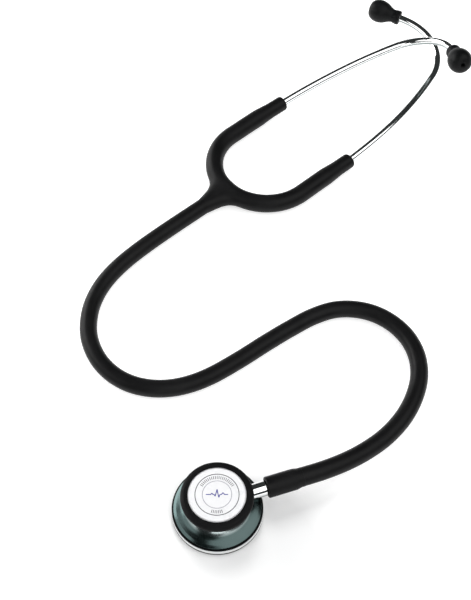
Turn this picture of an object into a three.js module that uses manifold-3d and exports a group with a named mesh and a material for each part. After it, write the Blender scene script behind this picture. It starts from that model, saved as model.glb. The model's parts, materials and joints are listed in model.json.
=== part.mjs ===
// A dual-head stethoscope lying on a table, with its headset folded: millimetres, +Z up.
// The origin is the centre of the large diaphragm's outer face, which rests on the table.
import * as THREE from 'three';
import { mergeVertices } from 'three/addons/utils/BufferGeometryUtils.js';
import Module from 'manifold-3d';

const wasm = await Module();
wasm.setup();

// ---------- driving dimensions ----------
const GAP = 0.3; // clearance between pieces that touch in the real object

const RIM_RADIUS = 23.8; // large retaining ring, outside
const TOP_Z = 21.0; // small diaphragm's outer face
const WAIST_RADIUS = 13.6; // chestpiece between its two cups
const STEM_HEIGHT = 11.0; // stem axis above the table
const STEM_AZIMUTH = THREE.MathUtils.degToRad(18);
const STEM_RADIUS = 4.0;
const STEM_BORE_RADIUS = STEM_RADIUS + GAP;
const STEM_INNER_END = -7.6; // along the stem from the chestpiece's axis
const STEM_BARB_END = 44.0;
const AIR_BORE_RADIUS = 1.6;
const CUP_PORT_RADIUS = 2.0;
const O_RING_PLACES = [-4.6, 4.6]; // either side of the air port
const O_RING_GROOVE = { depth: 1.2, width: 1.4 };
const DETENT_PLACE = 8.5; // along the stem
const DETENT_GROOVE = { depth: 0.6, width: 2.4 };
const DETENT_BORE_RADIUS = 1.4;
const BALL_RADIUS = 1.0;

const TUBE_RADIUS = 5.0; // main tube, outside
const LUMEN_RADIUS = 2.3;
const CUFF = { start: 26.5, end: 44.5, radius: 5.6, innerRadius: 3.95 };

const HEADSET_ORIGIN = new THREE.Vector3(-1.5, 207.8, 5.6); // foot of the yoke
const HEADSET_HEADING = THREE.MathUtils.degToRad(41.5);
const YOKE_RADIUS = 5.6; // section of the yoke and its arms
const YOKE_BEND = { centre: 40.5, radius: 33 }; // the U's centreline
const STUB_START = -10;
const KNUCKLE_ANGLE = THREE.MathUtils.degToRad(60); // where each arm turns, from the U's foot
const LEAF_SPRING = { inset: 3.9, thickness: 0.6, height: 4.0, halfAngle: THREE.MathUtils.degToRad(46) };

const EAR_TUBE_RADIUS = 2.4;
const EAR_TUBE_WALL = 0.6;
const EAR_TUBE_SEAT = 14; // length held inside the arm
const ARM_MOUTH_RADIUS = 4.9;
const ARM_SOCKET = 20; // straight end of an arm
// Each ear tube: mouth of its arm (headset frame), then long, slow and tight bends, then straight.
const SIDES = [
  {
    name: 'left', sign: 1, mouth: [84.5, 31.2, 1.7], inward: 4.4, rise: 3.6, twist: 23.4,
    bends: [{ length: 54.7, radius: 297.5 }, { length: 34.0, radius: 180.4 }, { length: 47.1, radius: 28.4 }],
    end: 19.1, armPoints: [[46, 33, 0], [54, 33, 0.1]],
  },
  {
    name: 'right', sign: -1, mouth: [82.7, 33.3, 0.1], inward: 1.8, rise: 0.3, twist: 4.6,
    bends: [{ length: 29.7, radius: 479.7 }, { length: 66.4, radius: 296.3 }, { length: 63.5, radius: 37.9 }],
    end: 16.3, armPoints: [[46, 33, 0], [54, 33, 0]],
  },
];
const TIP_BULB_RADIUS = 7.75;
const TIP_BORE_RADIUS = EAR_TUBE_RADIUS + GAP;
const TIP_HOLE_RADIUS = 1.25;
const TUBE_END_IN_TIP = 2.0; // ear tube stops this far short of the bulb's centre
const TIP_CORE = { start: -8.0, end: -2.6, radius: 3.9 };

// Centreline of the free tube from the yoke's stub to the cuff on the stem.
const TUBE_ROUTE = [
  [-9.2, 201.0, 5.3], [-16.7, 194.7, 5.1], [-29.6, 183.6, 5], [-42.5, 172.0, 5], [-53.6, 161.1, 5],
  [-61.4, 152.1, 5], [-67.2, 143.6, 5], [-71.4, 135.0, 5], [-74.2, 125.8, 5], [-75.3, 115.8, 5],
  [-74.5, 105.4, 5], [-71.3, 95.4, 5], [-66.1, 86.5, 5], [-58.7, 78.9, 5], [-49.1, 73.2, 5],
  [-38.4, 70.4, 5], [-27.5, 70.3, 5], [-16.5, 72.8, 5], [-4.8, 78.0, 5], [11.2, 88.4, 5],
  [27.4, 100.3, 5], [41.3, 109.9, 5], [54.2, 117.8, 5], [67, 122.5, 5], [79.1, 122.7, 5],
  [90.2, 119.4, 5], [99.9, 112.7, 5], [107.4, 103.1, 5], [111.5, 91.2, 5], [111.6, 78.4, 5],
  [108, 65.8, 5], [101, 52.9, 5], [90.6, 41.0, 5.1], [78.8, 31.6, 6.2], [67.4, 24.4, 8.2],
  [55.5, 18.5, 10.2], [42.7, 13.9, 11],
];

// Facets round each kind of piece.
const FACETS = { chestpiece: 28, stem: 16, yoke: 12, earTube: 10, earTip: 14, mainTube: 10, lumen: 6 };

// ---------- solids ----------
const radians = THREE.MathUtils.degToRad;

// A closed solid from a three.js geometry, turned the right way out.
function solid(geometry) {
  const bare = geometry.clone();
  bare.deleteAttribute('normal');
  bare.deleteAttribute('uv');
  const merged = mergeVertices(bare, 1e-4);
  const at = merged.getAttribute('position');
  const index = merged.getIndex().array;
  const triangles = [];
  let volume = 0;
  const [a, b, c] = [new THREE.Vector3(), new THREE.Vector3(), new THREE.Vector3()];
  for (let i = 0; i < index.length; i += 3) {
    const [p, q, r] = [index[i], index[i + 1], index[i + 2]];
    if (p === q || q === r || r === p) continue;
    triangles.push(p, q, r);
    a.fromBufferAttribute(at, p);
    b.fromBufferAttribute(at, q);
    c.fromBufferAttribute(at, r);
    volume += a.dot(b.cross(c));
  }
  if (volume < 0) triangles.reverse();
  return new wasm.Manifold(new wasm.Mesh({
    numProp: 3,
    vertProperties: new Float32Array(at.array),
    triVerts: new Uint32Array(triangles),
  }));
}

function geometryOf(manifold) {
  const mesh = manifold.getMesh();
  const geometry = new THREE.BufferGeometry();
  geometry.setAttribute('position', new THREE.BufferAttribute(new Float32Array(mesh.vertProperties), 3));
  geometry.setIndex(new THREE.BufferAttribute(new Uint32Array(mesh.triVerts), 1));
  geometry.computeVertexNormals();
  return geometry;
}

function joined(first, ...others) {
  return others.reduce((whole, piece) => whole.add(piece), first);
}

function cut(first, ...others) {
  return others.reduce((whole, piece) => whole.subtract(piece), first);
}

// A profile of [radius, height] points turned about +Z.
function lathe(profile, segments = FACETS.chestpiece) {
  const points = profile.map(([r, h]) => new THREE.Vector2(r, h));
  return new THREE.LatheGeometry(points, segments).rotateX(Math.PI / 2);
}

function ringLathe(profile, segments = FACETS.chestpiece) {
  return lathe([...profile, profile[0]], segments);
}

// The same along +X, which is the stem's own direction.
function latheAlongX(profile, segments = FACETS.stem) {
  return lathe(profile, segments).rotateY(Math.PI / 2);
}

function rod(radius, from, to, sides = FACETS.stem) {
  return solid(lathe([[0, from], [radius, from], [radius, to], [0, to]], sides));
}

function rodAlongX(radius, from, to, sides = FACETS.stem) {
  return solid(latheAlongX([[0, from], [radius, from], [radius, to], [0, to]], sides));
}

function circleShape(radius, sides, holeRadius = 0) {
  const ring = (r) => [...Array(sides).keys()].map((i) => {
    const angle = (2 * Math.PI * i) / sides;
    return new THREE.Vector2(r * Math.cos(angle), r * Math.sin(angle));
  });
  const shape = new THREE.Shape(ring(radius));
  if (holeRadius > 0) shape.holes.push(new THREE.Path(ring(holeRadius)));
  return shape;
}

function tubeAlong(path, radius, { steps, sides, holeRadius = 0 }) {
  const shape = circleShape(radius, sides, holeRadius);
  return new THREE.ExtrudeGeometry(shape, { steps, extrudePath: path, bevelEnabled: false });
}

// Points of the yoke's U at an angle from its foot; sign +1 is the left side.
function bendPoint(angle, sign = 1) {
  const x = YOKE_BEND.centre - YOKE_BEND.radius * Math.cos(angle);
  return new THREE.Vector3(x, sign * YOKE_BEND.radius * Math.sin(angle), 0);
}

function bendPath(from, to) {
  const count = 13;
  const points = [...Array(count).keys()].map((i) => bendPoint(from + ((to - from) * i) / (count - 1)));
  return new THREE.CatmullRomCurve3(points);
}

// A flat curve made of straights and arcs, bending from `heading` towards `side`.
class BentPath extends THREE.Curve {
  constructor(start, heading, side, pieces) {
    super();
    Object.assign(this, { start, heading, side, pieces });
    this.total = pieces.reduce((sum, piece) => sum + piece.length, 0);
  }

  getPoint(t, target = new THREE.Vector3()) {
    let left = t * this.total;
    let [along, across, angle] = [0, 0, 0];
    for (const { length, radius } of this.pieces) {
      const step = Math.min(left, length);
      const turn = radius ? step / radius : 0;
      const chord = radius ? 2 * radius * Math.sin(turn / 2) : step;
      along += chord * Math.cos(angle + turn / 2);
      across += chord * Math.sin(angle + turn / 2);
      angle += turn;
      left -= step;
    }
    return target.copy(this.start)
      .addScaledVector(this.heading, along)
      .addScaledVector(this.side, across);
  }
}

class HelixPath extends THREE.Curve {
  constructor(radius, length, turns) {
    super();
    Object.assign(this, { radius, length, turns });
  }

  getPoint(t, target = new THREE.Vector3()) {
    const angle = 2 * Math.PI * this.turns * t;
    return target.set(this.radius * Math.cos(angle), this.radius * Math.sin(angle), this.length * t);
  }
}

// ---------- finishes ----------
const finish = (color, roughness, metalness) => () => (
  new THREE.MeshStandardMaterial({ color, roughness, metalness })
);
const chrome = finish(0xd8dcdc, 0.12, 1.0);
const springSteel = finish(0x9a9ea2, 0.35, 1.0);
const blackVinyl = finish(0x0b0b0c, 0.45, 0.0);
const blackRubber = finish(0x111112, 0.6, 0.0);
const whiteDisc = finish(0xf4f4f2, 0.4, 0.0);
const clearDisc = finish(0xcfd3d2, 0.35, 0.0);
const nylon = finish(0x2a2a2c, 0.5, 0.0);

function part(name, shape, material) {
  const geometry = shape instanceof THREE.BufferGeometry ? geometryOf(solid(shape)) : geometryOf(shape);
  const mesh = new THREE.Mesh(geometry, material());
  mesh.name = name;
  return mesh;
}

// ---------- chestpiece ----------
function chestpieceBody() {
  const turned = solid(lathe([
    [0, 5.0], [6, 4.6], [20.2, 2.2], [20.9, 1.6], [21.9, 1.6], [21.9, 4.9], [22.7, 4.9], [22.7, 5.5],
    [21.2, 6.3], [18.8, 7.3], [16.6, 8.6], [14.8, 10.1], [WAIST_RADIUS, 12], [WAIST_RADIUS, 13.6],
    [14.3, 15.0], [15.5, 15.9], [16.0, 16.6], [16.7, 17.2], [16.7, 19.7], [15.4, 19.7], [15.0, 19.2],
    [5, 17.6], [0, 17.5],
  ]));
  const boss = rodAlongX(6, 0, 15.0).translate(0, 0, STEM_HEIGHT);
  const stemBore = rodAlongX(STEM_BORE_RADIUS, STEM_INNER_END - GAP, 20).translate(0, 0, STEM_HEIGHT);
  const cupPort = rod(CUP_PORT_RADIUS, 4, 18.5);
  const detentBore = solid(lathe([[0, 0], [DETENT_BORE_RADIUS, 0], [DETENT_BORE_RADIUS, 12], [0, 12]], 12)
    .rotateX(-Math.PI / 2).translate(DETENT_PLACE, 3.0, STEM_HEIGHT));
  return cut(turned.add(boss), stemBore, cupPort, detentBore);
}

// A thin stiff disc whose edge steps back behind the lip that holds it.
function largeDiaphragm() {
  return lathe([
    [0, 0], [19.6, 0], [19.9, 0.3], [19.9, 0.9], [21.6, 0.9], [21.6, 1.3], [19.5, 1.3], [19.2, 0.5], [0, 0.5],
  ]);
}

function smallDiaphragm() {
  return lathe([
    [0, TOP_Z - 0.5], [13.8, TOP_Z - 0.5], [14.0, TOP_Z - 1], [16.2, TOP_Z - 1], [16.2, TOP_Z - 0.6],
    [14.4, TOP_Z - 0.6], [14.4, TOP_Z - 0.2], [14.2, TOP_Z], [0, TOP_Z],
  ]);
}

function retainingRing() {
  return ringLathe([
    [20.3, 0], [23.3, 0], [RIM_RADIUS, 0.5], [RIM_RADIUS, 4.2], [23.4, 4.6], [22.3, 4.6], [22.3, 0.6],
    [20.3, 0.6],
  ]);
}

function nonChillRing() {
  return ringLathe([
    [14.75, TOP_Z - 0.3], [14.8, TOP_Z - 0.05], [15.4, TOP_Z], [16.8, TOP_Z - 0.1], [17.9, TOP_Z - 0.6],
    [18.6, TOP_Z - 1.5], [18.75, TOP_Z - 2.6], [18.5, 17.2], [18.0, 16.4], [17.2, 16.1], [16.5, 16.4],
    [17.0, 17.0], [17.0, TOP_Z - 0.3],
  ]);
}

function valveStem() {
  const groove = ({ depth, width }, place) => [
    [STEM_RADIUS, place - width / 2], [STEM_RADIUS - depth, place - width / 2],
    [STEM_RADIUS - depth, place + width / 2], [STEM_RADIUS, place + width / 2],
  ];
  const barbs = [28.5, 33.5, 38.5].flatMap((at) => [[2.9, at], [2.9, at + 2.2], [3.6, at + 2.4], [2.9, at + 5]]);
  const turned = solid(latheAlongX([
    [0, STEM_INNER_END], [STEM_RADIUS - 0.5, STEM_INNER_END], [STEM_RADIUS, STEM_INNER_END + 0.5],
    ...groove(O_RING_GROOVE, O_RING_PLACES[0]), ...groove(O_RING_GROOVE, O_RING_PLACES[1]),
    ...groove(DETENT_GROOVE, DETENT_PLACE),
    [STEM_RADIUS, CUFF.start - GAP], [2.9, CUFF.start - GAP],
    ...barbs, [2.6, STEM_BARB_END], [0, STEM_BARB_END],
  ]));
  const airBore = rodAlongX(AIR_BORE_RADIUS, -1.8, STEM_BARB_END + 1);
  const sidePort = rod(AIR_BORE_RADIUS, -STEM_RADIUS - 1, 0);
  return cut(turned, airBore, sidePort);
}

function stemORing() {
  const centre = STEM_RADIUS - O_RING_GROOVE.depth + GAP + 0.45;
  return new THREE.TorusGeometry(centre, 0.45, 6, FACETS.stem).rotateY(Math.PI / 2);
}

function detentSpring() {
  return tubeAlong(new HelixPath(0.75, 1.7, 4), 0.16, { steps: 40, sides: 5 }).rotateX(-Math.PI / 2);
}

function detentScrew() {
  const plug = solid(lathe([[0, 0], [1.1, 0], [1.1, 1.9], [0, 1.9]], 12));
  const slot = solid(new THREE.BoxGeometry(0.5, 3, 1.2).translate(0, 0, 1.9));
  return plug.subtract(slot).rotate(-90, 0, 0);
}

function tubeEndCuff() {
  const { start, end, radius, innerRadius } = CUFF;
  return latheAlongX([
    [innerRadius, start + 0.3], [radius - 0.4, start], [radius, start + 0.5], [radius, end - 2.5],
    [TUBE_RADIUS, end - 0.3], [TUBE_RADIUS - 0.3, end], [innerRadius, end],
    [innerRadius, start + 0.3],
  ]);
}

function chestpieceGroup() {
  const group = new THREE.Group();
  group.rotation.z = STEM_AZIMUTH;
  group.add(
    part('chestpiece_body', chestpieceBody(), chrome),
    part('large_diaphragm', largeDiaphragm(), clearDisc),
    part('large_retaining_ring', retainingRing(), chrome),
    part('small_diaphragm', smallDiaphragm(), whiteDisc),
    part('non_chill_ring', nonChillRing(), blackRubber),
  );
  const stem = new THREE.Group();
  stem.position.z = STEM_HEIGHT;
  stem.add(
    part('valve_stem', valveStem(), chrome),
    part('tube_end_cuff', tubeEndCuff(), blackVinyl),
  );
  O_RING_PLACES.forEach((place, i) => {
    const ring = part(['stem_o_ring_inner', 'stem_o_ring_outer'][i], stemORing(), blackRubber);
    ring.position.x = place;
    stem.add(ring);
  });
  const ballY = STEM_RADIUS - DETENT_GROOVE.depth + GAP + BALL_RADIUS;
  const detents = [
    [part('detent_ball', new THREE.SphereGeometry(BALL_RADIUS, 12, 8), springSteel), ballY],
    [part('detent_spring', detentSpring(), springSteel), ballY + BALL_RADIUS + GAP + 0.2],
    [part('detent_screw', detentScrew(), springSteel), ballY + BALL_RADIUS + 2.7],
  ];
  detents.forEach(([mesh, y]) => {
    mesh.position.set(DETENT_PLACE, y, 0);
    stem.add(mesh);
  });
  group.add(stem);
  return group;
}

// ---------- headset ----------
// Directions of one ear tube, in the headset's frame.
function earTubeAxes({ sign, inward, rise, twist }) {
  const across = -sign * Math.sin(radians(inward));
  const heading = new THREE.Vector3(Math.cos(radians(inward)) * Math.cos(radians(rise)),
    across * Math.cos(radians(rise)), Math.sin(radians(rise)));
  const level = new THREE.Vector3(-Math.sin(radians(inward)), -sign * Math.cos(radians(inward)), 0);
  const up = new THREE.Vector3().crossVectors(level, heading).multiplyScalar(sign).normalize();
  const side = level.clone().multiplyScalar(Math.cos(radians(twist)))
    .addScaledVector(up, Math.sin(radians(twist)));
  return { heading, side };
}

function mouthPoint({ sign, mouth }) {
  return new THREE.Vector3(mouth[0], sign * mouth[1], mouth[2]);
}

function yokeCentre() {
  const bend = solid(tubeAlong(bendPath(-KNUCKLE_ANGLE, KNUCKLE_ANGLE), YOKE_RADIUS, { steps: 14, sides: FACETS.yoke }));
  const stub = rodAlongX(TUBE_RADIUS, STUB_START, YOKE_BEND.centre - YOKE_BEND.radius, FACETS.yoke);
  const outline = new THREE.Shape();
  outline.moveTo(-6, -4.4);
  outline.quadraticCurveTo(0.5, -5.5, 6.2, -16.5);
  outline.lineTo(11, -12);
  outline.lineTo(11, 12);
  outline.lineTo(6.2, 16.5);
  outline.quadraticCurveTo(0.5, 5.5, -6, 4.4);
  const web = solid(new THREE.ExtrudeGeometry(outline, {
    depth: 5, bevelEnabled: true, bevelThickness: 1.2, bevelSize: 1.2, bevelOffset: -1.2, bevelSegments: 2,
  }).translate(0, 0, -2.5));
  const bore = solid(tubeAlong(bendPath(-radians(62), radians(62)), LUMEN_RADIUS, { steps: 12, sides: FACETS.lumen }));
  const stubBore = rodAlongX(LUMEN_RADIUS, STUB_START - 1, YOKE_BEND.centre - YOKE_BEND.radius, FACETS.lumen);
  const sockets = [1, -1].map((sign) => {
    const ball = new THREE.SphereGeometry(YOKE_RADIUS + GAP, 14, 8).rotateX(Math.PI / 2);
    return solid(ball.translate(...bendPoint(KNUCKLE_ANGLE, sign).toArray()));
  });
  const slot = solid(leafBand(LEAF_SPRING.thickness + 2 * GAP, LEAF_SPRING.height + 2 * GAP, radians(60)));
  return cut(joined(bend, stub, web), bore, stubBore, slot, ...sockets);
}

// A flat strip bent round the inside of the U.
function leafBand(thickness, height, halfAngle) {
  const middle = YOKE_BEND.radius - LEAF_SPRING.inset;
  const [inner, outer] = [middle - thickness / 2, middle + thickness / 2];
  const shape = new THREE.Shape();
  shape.absarc(0, 0, outer, Math.PI - halfAngle, Math.PI + halfAngle, false);
  shape.absarc(0, 0, inner, Math.PI + halfAngle, Math.PI - halfAngle, true);
  const band = new THREE.ExtrudeGeometry(shape, { depth: height, bevelEnabled: false, curveSegments: 12 });
  return band.translate(YOKE_BEND.centre, 0, -height / 2);
}

function yokeArm(sideSpec) {
  const { sign, armPoints } = sideSpec;
  const { heading } = earTubeAxes(sideSpec);
  const mouth = mouthPoint(sideSpec);
  const socketFoot = mouth.clone().addScaledVector(heading, -ARM_SOCKET);
  const justInside = socketFoot.clone().addScaledVector(heading, 1.5);
  const alongArm = [
    ...armPoints.map(([x, y, z]) => new THREE.Vector3(x, sign * y, z)), socketFoot, justInside,
  ];
  const route = (angles) => new THREE.CatmullRomCurve3(
    [...angles.map((angle) => bendPoint(radians(angle), sign)), ...alongArm],
    false, 'centripetal',
  );
  const limb = solid(tubeAlong(route([60, 70, 80, 90]), YOKE_RADIUS, { steps: 12, sides: FACETS.yoke }));
  const knuckle = solid(new THREE.SphereGeometry(YOKE_RADIUS, 14, 8).rotateX(Math.PI / 2)
    .translate(...bendPoint(KNUCKLE_ANGLE, sign).toArray()));
  const onAxis = (profile, segments) => {
    const turned = lathe(profile, segments);
    turned.applyQuaternion(new THREE.Quaternion().setFromUnitVectors(new THREE.Vector3(0, 0, 1), heading));
    return solid(turned.translate(...socketFoot.toArray()));
  };
  const end = onAxis([
    [0, 0], [YOKE_RADIUS, 0], [ARM_MOUTH_RADIUS, 8], [ARM_MOUTH_RADIUS, ARM_SOCKET - 1.5],
    [ARM_MOUTH_RADIUS - 0.6, ARM_SOCKET - 0.4], [ARM_MOUTH_RADIUS - 1.2, ARM_SOCKET], [0, ARM_SOCKET],
  ], FACETS.yoke);
  const lumen = solid(tubeAlong(route([46, 60, 75, 90]), LUMEN_RADIUS, { steps: 12, sides: FACETS.lumen }));
  const seatStart = ARM_SOCKET - EAR_TUBE_SEAT - GAP;
  const seat = onAxis([
    [0, seatStart], [EAR_TUBE_RADIUS + GAP, seatStart],
    [EAR_TUBE_RADIUS + GAP, ARM_SOCKET + 1], [0, ARM_SOCKET + 1],
  ], FACETS.yoke);
  const link = onAxis([[0, -1], [LUMEN_RADIUS, -1], [LUMEN_RADIUS, seatStart + 1], [0, seatStart + 1]], FACETS.lumen);
  return cut(joined(limb, knuckle, end), lumen, link, seat);
}

function earTubePath(sideSpec) {
  const { heading, side } = earTubeAxes(sideSpec);
  const start = mouthPoint(sideSpec).addScaledVector(heading, -EAR_TUBE_SEAT);
  return new BentPath(start, heading, side, [
    { length: EAR_TUBE_SEAT },
    ...sideSpec.bends,
    { length: sideSpec.end - TUBE_END_IN_TIP },
  ]);
}

function earTip() {
  const seatEnd = TIP_CORE.end + GAP;
  return ringLathe([
    [TIP_BORE_RADIUS, -15.3], [4.3, -15.4], [4.8, -14.6], [4.9, -13.2], [4.5, -11.2], [4.55, -9.6],
    [5.5, -7.4], [6.9, -4.6], [7.6, -1.8], [TIP_BULB_RADIUS, 0.4], [7.4, 2.8], [6.2, 5.2], [4.2, 6.8],
    [2.2, 7.4], [TIP_HOLE_RADIUS, 7.3], [TIP_HOLE_RADIUS, -1.4], [TIP_BORE_RADIUS, -1.5],
    [TIP_BORE_RADIUS, seatEnd], [TIP_CORE.radius + GAP, seatEnd], [TIP_CORE.radius + GAP, TIP_CORE.start - GAP],
    [TIP_BORE_RADIUS, TIP_CORE.start - GAP],
  ], FACETS.earTip);
}

// The stiff threaded sleeve moulded inside an ear tip.
function earTipCore() {
  const { start, end, radius } = TIP_CORE;
  return ringLathe([[TIP_BORE_RADIUS, start], [radius, start], [radius, end], [TIP_BORE_RADIUS, end]], FACETS.earTip);
}

function headsetGroup() {
  const group = new THREE.Group();
  group.position.copy(HEADSET_ORIGIN);
  group.rotation.z = HEADSET_HEADING;
  const { thickness, height, halfAngle } = LEAF_SPRING;
  group.add(
    part('yoke_centre', yokeCentre(), blackVinyl),
    part('leaf_spring', leafBand(thickness, height, halfAngle), springSteel),
  );
  for (const sideSpec of SIDES) {
    const path = earTubePath(sideSpec);
    const tube = tubeAlong(path, EAR_TUBE_RADIUS,
      { steps: 32, sides: FACETS.earTube, holeRadius: EAR_TUBE_RADIUS - EAR_TUBE_WALL });
    group.add(
      part(`${sideSpec.name}_yoke_arm`, yokeArm(sideSpec), blackVinyl),
      part(`${sideSpec.name}_ear_tube`, tube, chrome),
    );
    const outward = path.getTangent(1);
    const bulb = path.getPoint(1).addScaledVector(outward, TUBE_END_IN_TIP);
    for (const [kind, shape, material] of [
      ['ear_tip', earTip(), blackRubber], ['ear_tip_core', earTipCore(), nylon],
    ]) {
      const mesh = part(`${sideSpec.name}_${kind}`, shape, material);
      mesh.position.copy(bulb);
      mesh.quaternion.setFromUnitVectors(new THREE.Vector3(0, 0, 1), outward);
      group.add(mesh);
    }
  }
  return group;
}

// ---------- free tube ----------
function mainTube() {
  const route = new THREE.CatmullRomCurve3(TUBE_ROUTE.map((p) => new THREE.Vector3(...p)), false, 'centripetal');
  return part('main_tube', tubeAlong(route, TUBE_RADIUS, { steps: 52, sides: FACETS.mainTube }), blackVinyl);
}

const group = new THREE.Group();
group.add(chestpieceGroup(), headsetGroup(), mainTube());

export default group;
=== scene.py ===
"""A dual-head stethoscope lying folded on a pale table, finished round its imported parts."""

import json
import math

import bmesh
import bpy
import numpy as np
from mathutils import Matrix, Vector


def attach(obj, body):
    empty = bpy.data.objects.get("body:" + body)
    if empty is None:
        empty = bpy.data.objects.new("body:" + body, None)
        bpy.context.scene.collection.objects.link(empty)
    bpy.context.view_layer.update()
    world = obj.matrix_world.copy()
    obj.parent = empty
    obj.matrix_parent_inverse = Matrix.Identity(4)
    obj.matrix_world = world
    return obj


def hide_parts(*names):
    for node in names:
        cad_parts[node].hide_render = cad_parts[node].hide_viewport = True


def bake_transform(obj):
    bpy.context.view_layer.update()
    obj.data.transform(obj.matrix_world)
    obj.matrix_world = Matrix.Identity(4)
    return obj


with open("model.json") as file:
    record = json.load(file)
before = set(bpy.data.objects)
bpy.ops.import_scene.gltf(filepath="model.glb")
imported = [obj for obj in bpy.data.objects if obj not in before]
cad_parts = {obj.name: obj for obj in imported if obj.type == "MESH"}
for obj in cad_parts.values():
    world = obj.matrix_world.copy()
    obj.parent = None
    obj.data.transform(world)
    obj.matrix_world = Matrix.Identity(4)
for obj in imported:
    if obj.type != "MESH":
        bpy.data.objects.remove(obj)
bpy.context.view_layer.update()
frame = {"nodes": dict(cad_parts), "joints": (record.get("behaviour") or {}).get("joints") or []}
MM = 0.001
JOINTS = {joint["name"]: joint for joint in frame["joints"]}


# ---------- driving sizes, in metres ----------
TOP_Z = 21.0 * MM               # the chestpiece's highest face, above the table
TUBE_RADIUS = 5.0 * MM
YOKE_RADIUS = 5.6 * MM
ARM_MOUTH_RADIUS = 4.9 * MM
BEND_CENTRE = 40.5 * MM         # the yoke's U: its centre from the yoke's foot, and its radius
BEND_RADIUS = 33.0 * MM
KNUCKLE_ALONG = 24.0 * MM       # from the yoke's foot to the two knuckles
ARM_SOCKET = 20.0 * MM          # depth of the hole that each arm has for its ear tube
EAR_TUBE_RADIUS = 2.4 * MM
EAR_TUBE_BORE = 1.8 * MM        # radius of the ear tube's bore
EAR_TUBE_SEAT = 14.0 * MM       # length of ear tube inside its arm
TUBE_END_IN_TIP = 2.0 * MM      # from the ear tube's end to the middle of its tip

# Each ear tube beyond its arm, in millimetres: its bends as (length, radius), its straight end, and
# the points that its arm runs through in the headset's frame.
EAR_TUBES = {
    "left": {"bends": [(54.7, 297.5), (34.0, 180.4), (47.1, 28.4)], "end": 19.1,
             "arm": [(46, 33, 0), (54, 33, 0.1), (64.6, 32.7, 0.45), (74.5, 32, 1.05)]},
    "right": {"bends": [(29.7, 479.7), (66.4, 296.3), (63.5, 37.9)], "end": 16.3,
              "arm": [(46, -33, 0), (54, -33, 0), (63, -33.05, 0), (73, -33.15, 0.05)]},
}

# Centreline of the free tube from the yoke's stub to the cuff on the stem.
TUBE_ROUTE = [
    (-0.0092, 0.2010, 0.0053), (-0.0167, 0.1947, 0.0051), (-0.0296, 0.1836, 0.0050),
    (-0.0425, 0.1720, 0.0050), (-0.0536, 0.1611, 0.0050), (-0.0614, 0.1521, 0.0050),
    (-0.0672, 0.1436, 0.0050), (-0.0714, 0.1350, 0.0050), (-0.0742, 0.1258, 0.0050),
    (-0.0753, 0.1158, 0.0050), (-0.0745, 0.1054, 0.0050), (-0.0713, 0.0954, 0.0050),
    (-0.0661, 0.0865, 0.0050), (-0.0587, 0.0789, 0.0050), (-0.0491, 0.0732, 0.0050),
    (-0.0384, 0.0704, 0.0050), (-0.0275, 0.0703, 0.0050), (-0.0165, 0.0728, 0.0050),
    (-0.0048, 0.0780, 0.0050), (0.0112, 0.0884, 0.0050), (0.0274, 0.1003, 0.0050),
    (0.0413, 0.1099, 0.0050), (0.0542, 0.1178, 0.0050), (0.0670, 0.1225, 0.0050),
    (0.0791, 0.1227, 0.0050), (0.0902, 0.1194, 0.0050), (0.0999, 0.1127, 0.0050),
    (0.1074, 0.1031, 0.0050), (0.1115, 0.0912, 0.0050), (0.1116, 0.0784, 0.0050),
    (0.1080, 0.0658, 0.0050), (0.1010, 0.0529, 0.0050), (0.0906, 0.0410, 0.0051),
    (0.0788, 0.0316, 0.0062), (0.0674, 0.0244, 0.0082), (0.0555, 0.0185, 0.0102),
    (0.0427, 0.0139, 0.0110),
]


# ---------- places read from the frame ----------
def frame_of(origin, x_axis):
    """The matrix whose +X runs along x_axis, with +Z as near upright as it can be."""
    x = Vector(x_axis).normalized()
    z = Vector((0, 0, 1))
    z = (z - z.dot(x) * x).normalized()
    turn = Matrix((x, z.cross(x), z)).transposed().to_4x4()
    return Matrix.Translation(Vector(origin)) @ turn


STEM = frame_of(JOINTS["chestpiece_turn"]["pos_m"], JOINTS["chestpiece_turn"]["axis"])
AXIS_ALONG_X = Matrix.Rotation(math.radians(90), 4, "Y")
LEFT_KNUCKLE = Vector(JOINTS["left_arm_spread"]["pos_m"])
RIGHT_KNUCKLE = Vector(JOINTS["right_arm_spread"]["pos_m"])
HEADSET_AXIS = (RIGHT_KNUCKLE - LEFT_KNUCKLE).cross(Vector((0, 0, -1))).normalized()
YOKE_FOOT = (LEFT_KNUCKLE + RIGHT_KNUCKLE) / 2 - KNUCKLE_ALONG * HEADSET_AXIS
HEADSET = frame_of(YOKE_FOOT, HEADSET_AXIS)


# ---------- camera, floor and light ----------
def make_camera():
    """A camera over the table's near edge, looking down and slightly forward."""
    camera = bpy.data.objects.new("camera", bpy.data.cameras.new("camera"))
    bpy.context.scene.collection.objects.link(camera)
    camera.location = (0.0093, -0.2192, 0.5146)
    camera.rotation_euler = (math.radians(34.37), 0, 0)
    camera.data.lens = 63.42
    camera.data.sensor_width = 36
    bpy.context.scene.camera = camera


def make_floor(material):
    """The table top, a hair below the parts that rest on it."""
    mesh = bpy.data.meshes.new("floor")
    half = 3.0
    corners = [(-half, -half, 0), (half, -half, 0), (half, half, 0), (-half, half, 0)]
    mesh.from_pydata(corners, [], [(0, 1, 2, 3)])
    mesh.materials.append(material)
    floor = bpy.data.objects.new("floor", mesh)
    floor.location.z = -0.3 * MM
    bpy.context.scene.collection.objects.link(floor)


def area_light(name, place, aim, size, power, reflected=True):
    """A rectangular softbox facing aim; one that is not reflected lights the parts unseen."""
    light = bpy.data.lights.new(name, "AREA")
    light.shape = "RECTANGLE"
    light.size, light.size_y = size
    light.energy = power
    lamp = bpy.data.objects.new(name, light)
    lamp.location = place
    lamp.rotation_euler = (Vector(aim) - Vector(place)).to_track_quat("-Z", "Y").to_euler()
    lamp.visible_glossy = reflected
    bpy.context.scene.collection.objects.link(lamp)


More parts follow.
